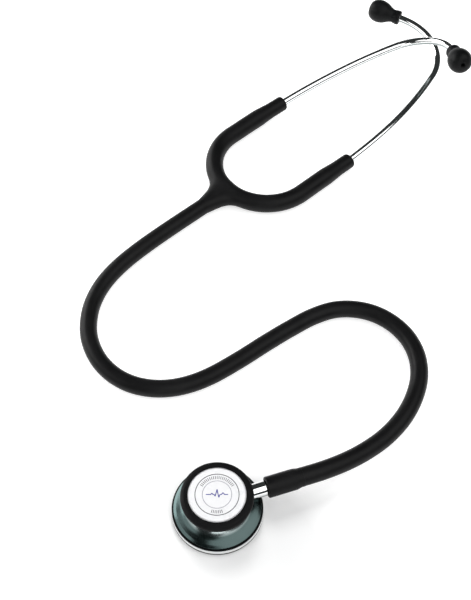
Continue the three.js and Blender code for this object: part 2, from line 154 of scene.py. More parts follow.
def make_lights():
    """Large softboxes in front; the room beyond the object stays nearly dark, as the chrome shows."""
    middle = (0.03, 0.16, 0)
    area_light("softbox_front", (0.62, -0.22, 1.15), middle, (1.9, 1.3), 15)
    area_light("softbox_left", (-0.93, 0.72, 0.42), middle, (1.05, 0.65), 11)
    area_light("softbox_side", (-0.93, -0.10, 0.66), middle, (0.9, 0.6), 3.2)
    area_light("softbox_low", (0.05, -0.95, 0.42), middle, (0.6, 0.3), 2)
    area_light("fill_behind", (-0.1, 1.0, 1.1), middle, (0.6, 0.6), 11, reflected=False)
    world = bpy.data.worlds.new("room")
    world.use_nodes = True
    background = world.node_tree.nodes["Background"]
    background.inputs["Color"].default_value = (0.9, 1.0, 1.0, 1)
    background.inputs["Strength"].default_value = 0.035
    bpy.context.scene.world = world
    bpy.context.scene.view_settings.view_transform = "Standard"


# ---------- material nodes ----------
class Nodes:
    """A new material's node tree, with its Principled shader."""

    def __init__(self, name, **values):
        self.material = bpy.data.materials.new(name)
        self.material.use_nodes = True
        self.tree = self.material.node_tree
        self.shader = self.tree.nodes["Principled BSDF"]
        for socket, value in values.items():
            self.shader.inputs[socket.replace("_", " ")].default_value = value
        self.material.diffuse_color = values.get("Base_Color", (0.5, 0.5, 0.5, 1))

    def add(self, kind, settings=None, **inputs):
        node = self.tree.nodes.new(kind)
        for key, value in (settings or {}).items():
            setattr(node, key, value)
        for key, value in inputs.items():
            socket = node.inputs[key.replace("_", " ")]
            if isinstance(value, bpy.types.NodeSocket):
                self.tree.links.new(value, socket)
            else:
                socket.default_value = value
        return node

    def place(self, source="Object", scale=(1, 1, 1)):
        """Texture coordinates, stretched by scale."""
        coordinates = self.add("ShaderNodeTexCoord").outputs[source]
        return self.add("ShaderNodeMapping", Vector=coordinates, Scale=scale).outputs["Vector"]

    def noise(self, vector, scale, detail=2.0, roughness=0.5):
        return self.add("ShaderNodeTexNoise", Vector=vector, Scale=scale, Detail=detail,
                        Roughness=roughness)

    def span(self, value, low, high, from_low=0.3, from_high=0.7):
        """A value's range, a noise's usual one unless given, moved to low..high."""
        inputs = {"From_Min": from_low, "From_Max": from_high, "To_Min": low, "To_Max": high}
        return self.add("ShaderNodeMapRange", Value=value, **inputs).outputs["Result"]

    def to(self, socket, value):
        self.tree.links.new(value, self.shader.inputs[socket])

    def bump(self, *layers):
        """layers: (height socket, strength, distance in metres), one on another."""
        normal = None
        for height, strength, distance in layers:
            node = self.add("ShaderNodeBump", Height=height, Strength=strength, Distance=distance)
            if normal is not None:
                self.tree.links.new(normal, node.inputs["Normal"])
            normal = node.outputs["Normal"]
        self.to("Normal", normal)

    def combine(self, kind, operation, first, second):
        """Two sockets through one maths node."""
        node = self.add(kind, {"operation": operation})
        self.tree.links.new(first, node.inputs[0])
        self.tree.links.new(second, node.inputs[1])
        return node.outputs[0]

    def mix(self, factor, first, second):
        node = self.tree.nodes.new("ShaderNodeMix")
        node.data_type = "RGBA"
        self.tree.links.new(factor, node.inputs["Factor"])
        node.inputs[6].default_value = first
        node.inputs[7].default_value = second
        return node.outputs[2]


def table_white():
    """A pale, glowing table, least bright round the chestpiece, so that its soft shadow shows."""
    nodes = Nodes("table_white", Base_Color=(0.80, 0.80, 0.80, 1), Roughness=0.6)
    nodes.shader.inputs["Emission Color"].default_value = (1, 1, 1, 1)
    nodes.to("Roughness", nodes.span(nodes.noise(nodes.place(), 30).outputs["Fac"], 0.55, 0.7))
    away = nodes.add("ShaderNodeVectorMath", {"operation": "DISTANCE"})
    nodes.tree.links.new(nodes.place(), away.inputs[0])
    away.inputs[1].default_value = (0, -35 * MM, 0)
    glow = nodes.span(away.outputs["Value"], 0.12, 0.62, 55 * MM, 100 * MM)
    nodes.to("Emission Strength", glow)
    return nodes.material


def bright_chrome():
    """Plated and buffed tube: a near mirror with faint wipe marks, and painted shade darkening its
    underside.
    """
    nodes = Nodes("bright_chrome", Base_Color=(0.86, 0.88, 0.88, 1), Metallic=1.0, Roughness=0.05)
    wipes = nodes.noise(nodes.place(scale=(1, 1, 3)), 70, 4, 0.6).outputs["Fac"]
    nodes.to("Roughness", nodes.span(wipes, 0.035, 0.10))
    # Painted shade: faces turned downwards get a dark grey colour, standing in for the shaded table under
    # the tube.
    facing = nodes.add("ShaderNodeTexCoord").outputs["Normal"]
    upward = nodes.add("ShaderNodeSeparateXYZ", Vector=facing).outputs["Z"]
    underside = nodes.span(upward, 0, 1, -0.05, 0.22)
    painted_underside_shade = nodes.mix(underside, (0.24, 0.27, 0.27, 1), (0.88, 0.89, 0.89, 1))
    nodes.to("Base Color", painted_underside_shade)
    pits = nodes.noise(nodes.place(), 2600, 3, 0.6).outputs["Fac"]
    nodes.bump((pits, 0.05, 0.02 * MM))
    return nodes.material


def rim_chrome():
    """The retaining ring: a chrome band, black on its top face, with a painted shadow, black and
    unreflecting, along its lower edge.
    """
    nodes = Nodes("rim_chrome", Base_Color=(0.86, 0.88, 0.88, 1), Metallic=1.0, Roughness=0.06)
    # Painted shadow: below 1.6 mm the ring is black and unreflecting, in place of the shadow under its edge.
    # Above 4.4 mm its top face is black too.
    height = nodes.add("ShaderNodeSeparateXYZ", Vector=nodes.place()).outputs["Z"]
    above_painted_shadow = nodes.span(height, 0, 1, 1.6 * MM, 1.8 * MM)
    below = nodes.span(height, 1, 0, 4.2 * MM, 4.4 * MM)
    band = nodes.combine("ShaderNodeMath", "MULTIPLY", above_painted_shadow, below)
    nodes.to("Metallic", band)
    nodes.to("Specular IOR Level", band)
    nodes.to("Base Color", nodes.mix(band, (0.006, 0.007, 0.007, 1), (0.86, 0.88, 0.88, 1)))
    wipes = nodes.noise(nodes.place(scale=(1, 1, 3)), 90, 4, 0.6).outputs["Fac"]
    nodes.to("Roughness", nodes.span(wipes, 0.04, 0.11))
    return nodes.material


def turned_metal():
    """Turned and polished metal: fine tool rings, a green-grey cast, small marks, and a painted highlight
    that makes the colour pale from the upper shoulder up.
    """
    nodes = Nodes("turned_metal", Base_Color=(0.10, 0.14, 0.135, 1), Metallic=1.0, Roughness=0.2)
    ringed = {"wave_type": "RINGS", "rings_direction": "Z", "wave_profile": "SIN"}
    rings = nodes.add("ShaderNodeTexWave", ringed, Vector=nodes.place(), Scale=900.0, Distortion=0.6,
                      Detail=2.0, Detail_Scale=1.5)
    marks = nodes.noise(nodes.place(), 140, 5, 0.65).outputs["Fac"]
    nodes.to("Roughness", nodes.span(marks, 0.17, 0.24))
    cast = nodes.span(nodes.noise(nodes.place(), 45, 3).outputs["Fac"], 0, 1)
    dark = nodes.mix(cast, (0.052, 0.076, 0.075, 1), (0.070, 0.098, 0.096, 1))
    # Painted highlight: from 8 mm to 10.5 mm up, the base colour turns pale, for the bright reflection just
    # under the rubber ring.
    height = nodes.add("ShaderNodeSeparateXYZ", Vector=nodes.place()).outputs["Z"]
    waist_highlight_mask = nodes.span(height, 0, 1, 8.0 * MM, 10.5 * MM)
    painted_waist_highlight = nodes.mix(waist_highlight_mask, (0, 0, 0, 1), (0.50, 0.54, 0.54, 1))
    nodes.to("Base Color", nodes.combine("ShaderNodeVectorMath", "ADD", dark, painted_waist_highlight))
    nodes.bump((rings.outputs["Fac"], 0.08, 0.01 * MM), (marks, 0.03, 0.02 * MM))
    return nodes.material


def black_vinyl():
    """Moulded black vinyl: deep black, satin, with a very fine skin texture."""
    nodes = Nodes("black_vinyl", Base_Color=(0.006, 0.006, 0.0065, 1), Roughness=0.42)
    nodes.shader.inputs["Specular IOR Level"].default_value = 0.13
    skin = nodes.noise(nodes.place(), 1700, 4, 0.6).outputs["Fac"]
    broad = nodes.noise(nodes.place(), 55, 3, 0.5).outputs["Fac"]
    nodes.to("Roughness", nodes.span(broad, 0.36, 0.52))
    black = nodes.mix(nodes.span(broad, 0, 1), (0.003, 0.003, 0.0033, 1), (0.006, 0.006, 0.0063, 1))
    nodes.to("Base Color", black)
    nodes.bump((skin, 0.18, 0.05 * MM), (broad, 0.10, 0.3 * MM))
    return nodes.material


def drawn_vinyl():
    """The tube's own finish: the same vinyl, with faint lines along its length from the die."""
    nodes = Nodes("drawn_vinyl", Base_Color=(0.006, 0.006, 0.0065, 1), Roughness=0.42)
    nodes.shader.inputs["Specular IOR Level"].default_value = 0.13
    lines = nodes.noise(nodes.place("UV", scale=(48, 2.2, 1)), 1.0, 3, 0.6).outputs["Fac"]
    skin = nodes.noise(nodes.place(), 1700, 4, 0.6).outputs["Fac"]
    broad = nodes.noise(nodes.place(), 40, 3, 0.5).outputs["Fac"]
    nodes.to("Roughness", nodes.span(lines, 0.36, 0.50))
    black = nodes.mix(nodes.span(broad, 0, 1), (0.003, 0.003, 0.0033, 1), (0.006, 0.006, 0.0063, 1))
    nodes.to("Base Color", black)
    nodes.bump((lines, 0.12, 0.1 * MM), (skin, 0.15, 0.04 * MM))
    return nodes.material


def matt_rubber():
    """Dull black rubber with a fine grain and a trace of dust."""
    nodes = Nodes("matt_rubber", Base_Color=(0.009, 0.009, 0.0095, 1), Roughness=0.55)
    nodes.shader.inputs["Specular IOR Level"].default_value = 0.12
    grain = nodes.noise(nodes.place(), 2400, 4, 0.7).outputs["Fac"]
    dust = nodes.noise(nodes.place(), 260, 5, 0.7).outputs["Fac"]
    nodes.to("Roughness", nodes.span(dust, 0.48, 0.66))
    dusted = nodes.span(dust, 0, 1, 0.55, 0.8)
    nodes.to("Base Color", nodes.mix(dusted, (0.003, 0.003, 0.0033, 1), (0.009, 0.009, 0.009, 1)))
    nodes.bump((grain, 0.25, 0.05 * MM))
    return nodes.material


def soft_tip_rubber():
    """The ear tips' soft skin: black with a broad, faint sheen."""
    nodes = Nodes("soft_tip_rubber", Base_Color=(0.006, 0.006, 0.0065, 1), Roughness=0.44)
    nodes.shader.inputs["Specular IOR Level"].default_value = 0.12
    nodes.shader.inputs["Sheen Weight"].default_value = 0.008
    nodes.shader.inputs["Sheen Roughness"].default_value = 0.4
    skin = nodes.noise(nodes.place(), 1400, 4, 0.6).outputs["Fac"]
    broad = nodes.noise(nodes.place(), 120, 3, 0.5).outputs["Fac"]
    nodes.to("Roughness", nodes.span(broad, 0.38, 0.54))
    black = nodes.mix(nodes.span(broad, 0, 1), (0.002, 0.0022, 0.0024, 1), (0.005, 0.0054, 0.0058, 1))
    nodes.to("Base Color", black)
    nodes.bump((skin, 0.2, 0.05 * MM))
    return nodes.material


def white_face():
    """The small diaphragm's printed white face under a thin clear film."""
    nodes = Nodes("white_face", Base_Color=(0.86, 0.86, 0.865, 1), Roughness=0.28)
    nodes.shader.inputs["Coat Weight"].default_value = 0.3
    nodes.shader.inputs["Coat Roughness"].default_value = 0.12
    mottle = nodes.noise(nodes.place(), 420, 4, 0.6).outputs["Fac"]
    white = nodes.mix(nodes.span(mottle, 0, 1), (0.76, 0.76, 0.775, 1), (0.80, 0.80, 0.81, 1))
    nodes.to("Base Color", white)
    nodes.to("Roughness", nodes.span(nodes.noise(nodes.place(), 90, 3).outputs["Fac"], 0.22, 0.36))
    nodes.bump((mottle, 0.05, 0.03 * MM))
    return nodes.material


def diaphragm_sheet():
    """Resin sheet over a fine glass cloth: a faint square weave."""
    nodes = Nodes("diaphragm_sheet", Base_Color=(0.70, 0.72, 0.70, 1), Roughness=0.30)
    threads = []
    for direction in ("X", "Y"):
        wave = nodes.add("ShaderNodeTexWave", {"wave_type": "BANDS", "bands_direction": direction},
                         Vector=nodes.place(), Scale=420.0, Distortion=0.4, Detail=1.0)
        threads.append(wave.outputs["Fac"])
    cloth = nodes.combine("ShaderNodeMath", "MULTIPLY", *threads)
    nodes.to("Base Color", nodes.mix(cloth, (0.62, 0.64, 0.62, 1), (0.78, 0.79, 0.77, 1)))
    nodes.to("Roughness", nodes.span(nodes.noise(nodes.place(), 150, 3).outputs["Fac"], 0.25, 0.38))
    nodes.bump((cloth, 0.25, 0.04 * MM))
    return nodes.material


def spring_steel():
    """Bare spring steel with drawing marks along its height."""
    nodes = Nodes("spring_steel", Base_Color=(0.52, 0.53, 0.55, 1), Metallic=1.0, Roughness=0.35)
    nodes.to("Roughness", nodes.span(nodes.noise(nodes.place(), 900, 3).outputs["Fac"], 0.28, 0.45))
    nodes.bump((nodes.noise(nodes.place(scale=(1, 1, 12)), 500, 3).outputs["Fac"], 0.1, 0.03 * MM))
    return nodes.material


def moulded_nylon():
    """The ear tips' hard cores: dark nylon as it leaves the mould."""
    nodes = Nodes("moulded_nylon", Base_Color=(0.04, 0.04, 0.045, 1), Roughness=0.5)
    nodes.to("Roughness", nodes.span(nodes.noise(nodes.place(), 700, 3).outputs["Fac"], 0.42, 0.6))
    nodes.bump((nodes.noise(nodes.place(), 1500, 3).outputs["Fac"], 0.15, 0.04 * MM))
    return nodes.material


def printing_ink(name, colour, worn):
    """A matt ink with paler worn specks."""
    nodes = Nodes(name, Base_Color=(*colour, 1), Roughness=0.45)
    wear = nodes.span(nodes.noise(nodes.place(), 2200, 3).outputs["Fac"], 0, 1, 0.45, 0.75)
    nodes.to("Base Color", nodes.mix(wear, (*colour, 1), (*worn, 1)))
    return nodes.material


MATERIALS = {
    "chrome": bright_chrome(),
    "rim": rim_chrome(),
    "turned": turned_metal(),
    "vinyl": black_vinyl(),
    "tube": drawn_vinyl(),
    "rubber": matt_rubber(),
    "tip": soft_tip_rubber(),
    "white": white_face(),
    "sheet": diaphragm_sheet(),
    "steel": spring_steel(),
    "nylon": moulded_nylon(),
    "dark_ink": printing_ink("dark_ink", (0.030, 0.030, 0.040), (0.06, 0.06, 0.075)),
    "pale_ink": printing_ink("pale_ink", (0.33, 0.32, 0.37), (0.42, 0.41, 0.46)),
    "blue_ink": printing_ink("blue_ink", (0.025, 0.025, 0.24), (0.05, 0.05, 0.30)),
}


# ---------- mesh work ----------
def piece(name, vertices, faces, material, uv=None):
    """A new smooth-shaded piece of one material."""
    mesh = bpy.data.meshes.new(name)
    mesh.from_pydata([tuple(v) for v in vertices], [], faces)
    if uv is not None:
        layer = mesh.uv_layers.new(name="along")
        layer.data.foreach_set("uv", np.asarray(uv, np.float32).ravel())
    mesh.materials.append(MATERIALS[material])
    mesh.validate()
    mesh.shade_smooth()
    made = bpy.data.objects.new(name, mesh)
    bpy.context.scene.collection.objects.link(made)
    return made


def finish_piece(made, body, slot, *nodes):
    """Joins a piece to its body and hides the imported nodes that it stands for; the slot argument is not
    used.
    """
    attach(made, body)
    if nodes:
        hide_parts(*nodes)


def rounded(corners, steps=5):
    """(radius, height[, fillet]) corners in millimetres as a profile in metres, its fillets as arcs."""
    points = [Vector(c[:2]) for c in corners]
    made = []
    for i, corner in enumerate(corners):
        fillet = corner[2] if len(corner) > 2 else 0
        here = points[i]
        if not fillet or i in (0, len(corners) - 1) and corners[0][0] == 0:
            made.append(here)
            continue
        before = (points[i - 1] - here).normalized()
        after = (points[(i + 1) % len(points)] - here).normalized()
        half = before.angle(after) / 2
        if half > math.radians(88):
            made.append(here)
            continue
        reach = min(fillet / math.tan(half), (points[i - 1] - here).length * 0.48,
                    (points[(i + 1) % len(points)] - here).length * 0.48)
        radius = reach * math.tan(half)
        centre = here + (before + after).normalized() * (radius / math.sin(half))
        start, end = here + before * reach - centre, here + after * reach - centre
        turn = start.angle_signed(end)
        for k in range(steps + 1):
            spoke = start.copy()
            spoke.rotate(Matrix.Rotation(-turn * k / steps, 2))
            made.append(centre + spoke)
    return [(p.x * MM, p.y * MM) for p in made]


def lathe(name, profile, material, segments, place=None, closed=False):
    """profile ([radius, height], metres) turned about its own +Z, which place then moves."""
    rings, vertices, faces = [], [], []
    place = place or Matrix.Identity(4)
    for radius, height in profile:
        if radius < 1e-7:
            rings.append([len(vertices)] * segments)
            vertices.append(place @ Vector((0, 0, height)))
            continue
        rings.append(list(range(len(vertices), len(vertices) + segments)))
        for i in range(segments):
            angle = 2 * math.pi * i / segments
            vertices.append(place @ Vector((radius * math.cos(angle), radius * math.sin(angle), height)))
    pairs = list(zip(rings, rings[1:]))
    if closed:
        pairs.append((rings[-1], rings[0]))
    for low, high in pairs:
        for i in range(segments):
            j = (i + 1) % segments
            corners = [low[i], low[j], high[j], high[i]]
            face = tuple(dict.fromkeys(corners))
            if len(face) > 2:
                faces.append(face)
    made = piece(name, vertices, faces, material)
    turn_outwards(made, sharp=35)
    return made


def turn_outwards(made, sharp):
    """Merges doubles, turns every face outwards and keeps edges over `sharp` degrees crisp."""
    work = bmesh.new()
    work.from_mesh(made.data)
    bmesh.ops.remove_doubles(work, verts=work.verts, dist=1e-7)
    bmesh.ops.recalc_face_normals(work, faces=work.faces)
    work.to_mesh(made.data)
    work.free()
    made.data.shade_smooth()
    made.data.set_sharp_from_angle(angle=math.radians(sharp))


def smooth_line(points, spacing):
    """A centripetal Catmull-Rom curve through points, as points about `spacing` apart."""
    p = np.array(points, float)
    p = np.vstack([2 * p[0] - p[1], p, 2 * p[-1] - p[-2]])
    fine = []
    for i in range(1, len(p) - 2):
        knots = [0.0]
        for a, b in zip(p[i - 1:i + 2], p[i:i + 3]):
            knots.append(knots[-1] + math.sqrt(np.linalg.norm(b - a)))
        t0, t1, t2, t3 = knots
        for t in np.linspace(t1, t2, 24, endpoint=False):
            a1 = ((t1 - t) * p[i - 1] + (t - t0) * p[i]) / (t1 - t0)
            a2 = ((t2 - t) * p[i] + (t - t1) * p[i + 1]) / (t2 - t1)
            a3 = ((t3 - t) * p[i + 1] + (t - t2) * p[i + 2]) / (t3 - t2)
            b1 = ((t2 - t) * a1 + (t - t0) * a2) / (t2 - t0)
            b2 = ((t3 - t) * a2 + (t - t1) * a3) / (t3 - t1)
            fine.append(((t2 - t) * b1 + (t - t1) * b2) / (t2 - t1))
    fine.append(p[-2])
    return spaced(np.array(fine), spacing)


def spaced(line, spacing):
    """The same line as evenly spaced points, about `spacing` apart."""
    along = np.concatenate([[0], np.cumsum(np.linalg.norm(np.diff(line, axis=0), axis=1))])
    at = np.linspace(0, along[-1], max(3, int(round(along[-1] / spacing)) + 1))
    return np.stack([np.interp(at, along, line[:, k]) for k in range(3)], axis=1)


def tangents_of(line):
    """The way along the line at each of its points."""
    tangent = np.gradient(line, axis=0)
    return tangent / np.linalg.norm(tangent, axis=1)[:, None]


def swept(name, line, radii, sides, material, tangents=None):
    """A closed round bar: a ring of `sides` points about each point of line, square to the line."""
    line = np.asarray(line, float)
    headings = tangents_of(line) if tangents is None else np.asarray(tangents, float)
    side = np.cross(headings[0], (0, 0, 1.0))
    steps = np.linalg.norm(np.diff(line, axis=0), axis=1)
    along = np.concatenate([[0], np.cumsum(steps)]) * 100
    angles = np.linspace(0, 2 * math.pi, sides, endpoint=False)
    vertices, faces, uv = [], [], []
    for centre, heading, radius in zip(line, headings, radii):
        side = side - heading * side.dot(heading)
        side /= np.linalg.norm(side)
        up = np.cross(heading, side)
        vertices += [centre + radius * (math.cos(a) * side + math.sin(a) * up) for a in angles]
    for i in range(len(line) - 1):
        for k in range(sides):
            low, high, j = i * sides, (i + 1) * sides, (k + 1) % sides
            faces.append((low + k, high + k, high + j, low + j))
            uv += [(k / sides, along[i]), (k / sides, along[i + 1])]
            uv += [((k + 1) / sides, along[i + 1]), ((k + 1) / sides, along[i])]
    last = (len(line) - 1) * sides
    faces.append(tuple(range(sides)))
    faces.append(tuple(reversed(range(last, last + sides))))
    uv += [(0.5, 0.0)] * sides + [(0.5, along[-1])] * sides
    made = piece(name, vertices, faces, material, uv=uv)
    turn_outwards(made, sharp=50)
    return made


# ---------- the free tube ----------
def make_main_tube():
    """The tube lying on the table, at its whole length."""
    line = smooth_line(TUBE_ROUTE, 2.0 * MM)
    tube = swept("main_tube_skin", line, [TUBE_RADIUS] * len(line), 40, "tube")
    finish_piece(tube, "tubing", "black_vinyl", "main_tube")


# ---------- chestpiece ----------
def make_chestpiece_shell():
    """Wide cup, shoulder, waist and small cup as one turned outline, with the stem's collar."""
    wide_cup = [(0, 5.0), (6, 4.6, 3), (20.2, 2.2, 0.3), (20.9, 1.6, 0.15), (21.9, 1.6, 0.15),
                (21.9, 4.9, 0.1), (22.7, 4.9, 0.15), (22.7, 5.5, 0.25)]
    shoulder = [(21.2, 6.3, 2), (18.8, 7.3, 12), (16.6, 8.6, 9), (14.8, 10.1, 6)]
    waist = [(13.6, 12, 4), (13.6, 13.6, 3), (14.3, 15, 2), (15.5, 15.9, 0.6)]
    small_cup = [(16, 16.6, 0.5), (16.7, 17.2, 0.3), (16.7, 19.7, 0.2), (15.4, 19.7, 0.2),
                 (15, 19.2, 0.3), (5, 17.6, 4), (0, 17.5)]
    outline = rounded(wide_cup + shoulder + waist + small_cup, steps=6)
    shell = lathe("chestpiece_shell", outline, "turned", segments=192)
    finish_piece(shell, "chestpiece", "turned_steel", "chestpiece_body")
    boss = rounded([(0, 8), (5.6, 8), (6, 8.4, 0.2), (6, 14.6, 0.5), (5.5, 15.2, 0.3), (4.3, 15.2, 0.2),
                    (4.3, 10), (0, 10)], steps=4)
    collar = lathe("stem_collar", boss, "turned", place=STEM @ AXIS_ALONG_X, segments=72)
    finish_piece(collar, "chestpiece", "turned_steel")


def make_retaining_ring():
    """A ring round the wide cup, with a lip below that holds the diaphragm."""
    section = rounded([(20.3, 0, 0.1), (23.3, 0, 0.3), (23.8, 0.5, 0.4), (23.8, 4.2, 0.5), (23.3, 4.6, 0.25),
                       (22.3, 4.6, 0.1), (22.3, 0.6, 0.1), (20.3, 0.6, 0.1)])
    ring = lathe("retaining_ring_rim", section, "rim", segments=192, closed=True)
    finish_piece(ring, "retaining_ring", "polished_chrome", "large_retaining_ring")


def make_large_diaphragm():
    """A thin sheet, dished down inside the ring's lip, with its edge gripped above the lip."""
    section = rounded([(0, 0), (19.5, 0, 0.4), (19.9, 0.5, 0.3), (19.9, 0.9), (21.6, 0.9, 0.1),
                       (21.6, 1.3, 0.1), (19.5, 1.3, 0.2), (19.2, 0.5, 0.3), (0, 0.5)])
    sheet = lathe("large_diaphragm_sheet", section, "sheet", segments=128)
    finish_piece(sheet, "diaphragm", "diaphragm_sheet", "large_diaphragm")


def make_small_diaphragm():
    """A disc with a fine groove near its edge, and below it the flange that the rubber ring holds."""
    section = rounded([(0, 20.5), (13.8, 20.5), (14.0, 20), (16.2, 20, 0.1), (16.2, 20.4, 0.1),
                       (14.45, 20.4, 0.1), (14.4, 20.8, 0.1), (14.2, 21, 0.15), (13.1, 21, 0.1),
                       (12.95, 20.92, 0.1), (12.8, 21, 0.1), (0, 21)])
    face = lathe("small_diaphragm_face", section, "white", segments=128)
    finish_piece(face, "chestpiece", "white_disc", "small_diaphragm")


def make_non_chill_ring():
    """A rolled rubber ring over the small cup's edge and down its side."""
    section = rounded([(14.75, 20.7, 0.1), (14.9, 20.97, 0.2), (15.6, 21, 0.8), (16.9, 20.85, 1.2),
                       (17.9, 20.4, 1.2), (18.6, 19.5, 1.2), (18.75, 18.4, 1.6), (18.5, 17.2, 1.0),
                       (18.0, 16.4, 0.6), (17.2, 16.1, 0.4), (16.85, 16.4, 0.2), (17.0, 17.0, 0.2),
                       (17.0, 20.7, 0.2)], steps=6)
    ring = lathe("non_chill_ring_rubber", section, "rubber", segments=160, closed=True)
    finish_piece(ring, "chestpiece", "black_rubber", "non_chill_ring")


# ---------- printing on the small diaphragm ----------
PRINT_LOW = TOP_Z - 0.02 * MM
PRINT_HIGH = TOP_Z + 0.03 * MM


def printed_circle(name, radius, width, ink):
    """A printed line, a circle about the chestpiece's axis."""
    inner, outer = radius - width / 2, radius + width / 2
    section = [(inner, PRINT_LOW), (outer, PRINT_LOW), (outer, PRINT_HIGH), (inner, PRINT_HIGH)]
    finish_piece(lathe(name, section, ink, segments=128, closed=True), "chestpiece", "white_disc")


def tick_tree():
    """Radial strokes on an arc about +Z, at one height."""
    tree = bpy.data.node_groups.new("tick_arc", "GeometryNodeTree")
    tree.interface.new_socket("Geometry", in_out="OUTPUT", socket_type="NodeSocketGeometry")
    sockets = {}
    for name, kind in (("Count", "Int"), ("Radius", "Float"), ("Stroke", "Vector"), ("From", "Float"),
                       ("Sweep", "Float"), ("Height", "Vector"), ("Ink", "Material")):
        socket = tree.interface.new_socket(name, in_out="INPUT", socket_type="NodeSocket" + kind)
        sockets[name] = socket.identifier
    given = tree.nodes.new("NodeGroupInput")
    result = tree.nodes.new("NodeGroupOutput")

    def node(kind, **inputs):
        made = tree.nodes.new(kind)
        for name, source in inputs.items():
            tree.links.new(source, made.inputs[name.replace("_", " ")])
        return made

    arc = node("GeometryNodeCurveArc", Radius=given.outputs["Radius"], Start_Angle=given.outputs["From"],
               Sweep_Angle=given.outputs["Sweep"])
    arc.inputs["Resolution"].default_value = 96
    points = node("GeometryNodeCurveToPoints", Curve=arc.outputs["Curve"], Count=given.outputs["Count"])
    stroke = node("GeometryNodeMeshCube", Size=given.outputs["Stroke"])
    strokes = node("GeometryNodeInstanceOnPoints", Points=points.outputs["Points"],
                   Instance=stroke.outputs["Mesh"], Rotation=points.outputs["Rotation"])
    real = node("GeometryNodeRealizeInstances", Geometry=strokes.outputs["Instances"])
    raised = node("GeometryNodeTransform", Geometry=real.outputs["Geometry"],
                  Translation=given.outputs["Height"])
    inked = node("GeometryNodeSetMaterial", Geometry=raised.outputs["Geometry"],
                 Material=given.outputs["Ink"])
    tree.links.new(inked.outputs["Geometry"], result.inputs["Geometry"])
    return tree, sockets


def printed_ticks(name, tree, sockets, values):
    """One arc of strokes as a plain mesh."""
    made = bpy.data.objects.new(name, bpy.data.meshes.new(name))
    bpy.context.scene.collection.objects.link(made)
    modifier = made.modifiers.new("ticks", "NODES")
    modifier.node_group = tree
    for key, value in values.items():
        modifier[sockets[key]] = value
    graph = bpy.context.evaluated_depsgraph_get()
    made.data = bpy.data.meshes.new_from_object(made.evaluated_get(graph))
    made.modifiers.clear()
    finish_piece(made, "chestpiece", "white_disc")


def make_tick_arcs():
    """A long arc of ticks above the pulse line and a short one below it."""
    tree, sockets = tick_tree()
    thick = 0.05 * MM
    shared = {"Radius": 9.3 * MM, "Height": (0, 0, TOP_Z), "Ink": MATERIALS["dark_ink"],
              "Stroke": (1.7 * MM, thick, 0.30 * MM)}
    upper = {"Count": 21, "From": math.radians(32), "Sweep": math.radians(116)}
    lower = {"Count": 7, "From": math.radians(254), "Sweep": math.radians(32)}
    printed_ticks("print_upper_ticks", tree, sockets, {**shared, **upper})
    printed_ticks("print_lower_ticks", tree, sockets, {**shared, **lower})


def make_pulse_line():
    """A small heartbeat trace, pressed nearly flat."""
    beats = [(-5.6, 0), (-3.2, 0), (-2.6, 0.7), (-2.0, 0), (-1.4, 0), (-0.9, -1.0), (0, 2.8), (0.9, -1.6),
             (1.5, 0), (2.2, 0), (3.0, 1.0), (3.8, 0), (5.6, 0)]
    line = spaced(np.array([(x * MM, y * MM, TOP_Z) for x, y in beats]), 0.12 * MM)
    pulse = swept("print_pulse_line", line, [0.24 * MM] * len(line), 10, "blue_ink")
    for vertex in pulse.data.vertices:
        vertex.co.z = TOP_Z + (vertex.co.z - TOP_Z) * 0.15
    finish_piece(pulse, "chestpiece", "white_disc")


def make_printing():
    """A plain dial: two circles, two arcs of ticks and a pulse line."""
    printed_circle("print_outer_circle", 11.1 * MM, 0.38 * MM, "dark_ink")
    printed_circle("print_inner_circle", 7.4 * MM, 0.36 * MM, "pale_ink")
    make_tick_arcs()
    make_pulse_line()


# ---------- stem and cuff ----------
def make_stem():
    """The stem: grooves for its O-rings and detent, a barbed tail for the tube, and a bore."""
    def groove(place, width, depth):
        low, high = place - width / 2, place + width / 2
        return [(4, low), (4 - depth, low, 0.1), (4 - depth, high, 0.1), (4, high)]

    barbs = []
    for at in (28.5, 33.5, 38.5):
        barbs += [(2.9, at), (2.9, at + 2.2), (3.6, at + 2.4, 0.1), (2.9, at + 5)]
    outline = [(0, -7.6), (3.5, -7.6, 0.1), (4, -7.1, 0.2)]
    outline += groove(-4.6, 1.4, 1.2) + groove(4.6, 1.4, 1.2) + groove(8.5, 2.4, 0.6)
    outline += [(4, 25.9, 0.2), (3.7, 26.2, 0.1), (2.9, 26.2)] + barbs
    outline += [(2.6, 44, 0.2), (1.6, 44, 0.2), (1.6, -1.8), (0, -1.8)]
    stem = lathe("stem_metal", rounded(outline, steps=4), "chrome", place=STEM @ AXIS_ALONG_X, segments=96)
    finish_piece(stem, "tubing", "polished_chrome", "valve_stem")


def make_cuff():
    """A moulded sleeve over the tube's end, whose thin tail laps the tube."""
    section = rounded([(3.95, 26.9, 0.2), (4.4, 26.5, 0.2), (5.25, 26.5, 0.35), (5.6, 27.0, 0.35),
                       (5.6, 42.0, 3), (5.06, 44.4, 2), (5.04, 46.2, 0.1), (4.9, 46.3), (4.9, 44.6),
                       (3.95, 44.4)], steps=6)
    cuff = lathe("cuff_sleeve", section, "vinyl", place=STEM @ AXIS_ALONG_X, segments=96, closed=True)
    finish_piece(cuff, "tubing", "black_vinyl", "tube_end_cuff")


